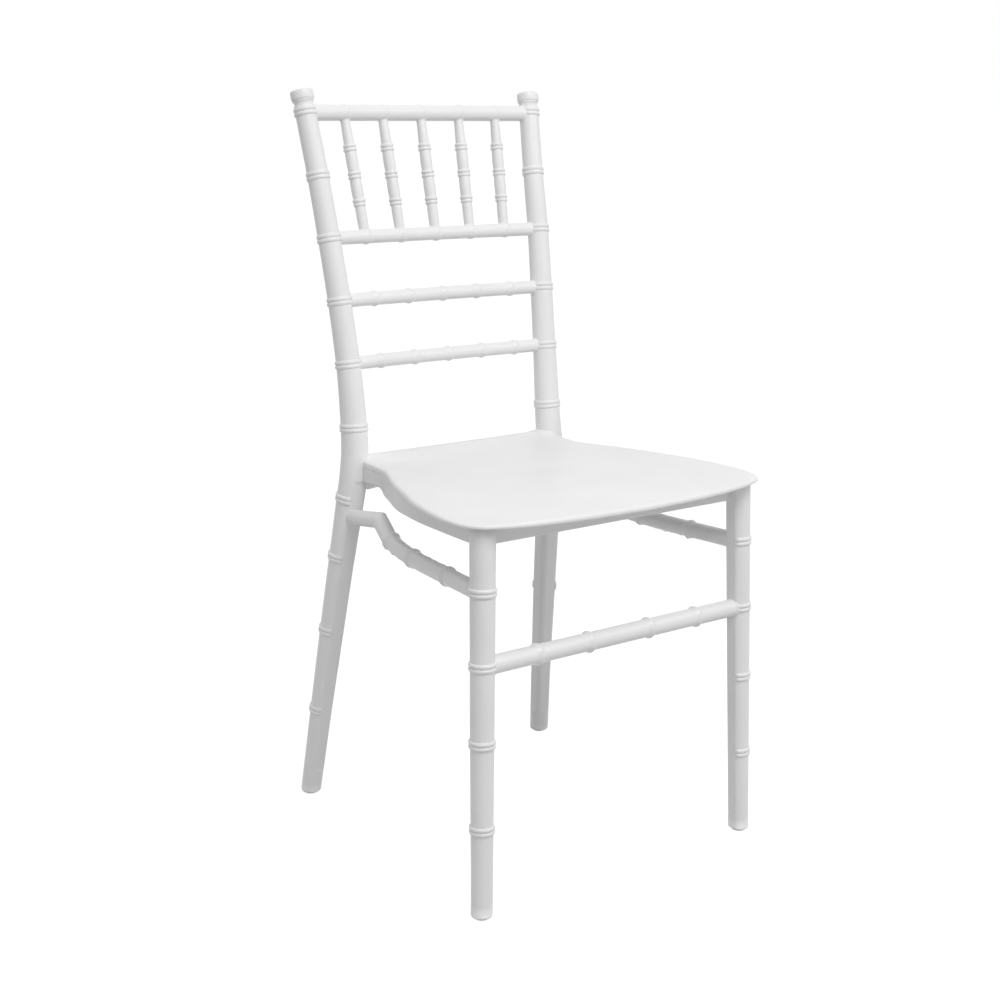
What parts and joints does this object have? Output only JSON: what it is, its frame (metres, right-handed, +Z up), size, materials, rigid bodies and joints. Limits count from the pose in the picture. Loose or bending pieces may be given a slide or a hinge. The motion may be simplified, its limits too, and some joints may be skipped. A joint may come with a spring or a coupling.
{
  "type": "chiavari chair",
  "caption": "Stackable dining chair in white moulded plastic with ringed legs and posts, spindle back rails and a thin rolled-lip seat.",
  "frame": {"origin": "on the floor, in the middle of the chair's width and depth", "axes": "+Z up, the chair faces -Y, +X is to the right of someone who looks at its front"},
  "size_m": [0.4318, 0.4756, 0.9042],
  "materials": {
    "white_resin": "satin-gloss moulded polypropylene",
    "glide_nylon": "plain matt nylon",
    "zinc_steel": "zinc-plated steel"
  },
  "bodies": {
    "root": {"rear_post_left": "white_resin", "rear_post_right": "white_resin", "front_leg_left": "white_resin", "front_leg_right": "white_resin", "finial_left": "white_resin", "finial_right": "white_resin", "foot_glide_rear_left": "glide_nylon", "foot_glide_rear_right": "glide_nylon", "foot_glide_front_left": "glide_nylon", "foot_glide_front_right": "glide_nylon", "side_stretcher_left": "white_resin", "side_stretcher_right": "white_resin", "front_stretcher": "white_resin", "seat_shell": "white_resin", "rear_seat_bolts": "zinc_steel", "front_leg_bolts": "zinc_steel", "top_rail": "white_resin", "spindle_rail": "white_resin", "upper_ladder_rail": "white_resin", "lower_ladder_rail": "white_resin", "spindle_1": "white_resin", "spindle_2": "white_resin", "spindle_3": "white_resin", "spindle_4": "white_resin", "spindle_5": "white_resin"}
  },
  "joints": []
}
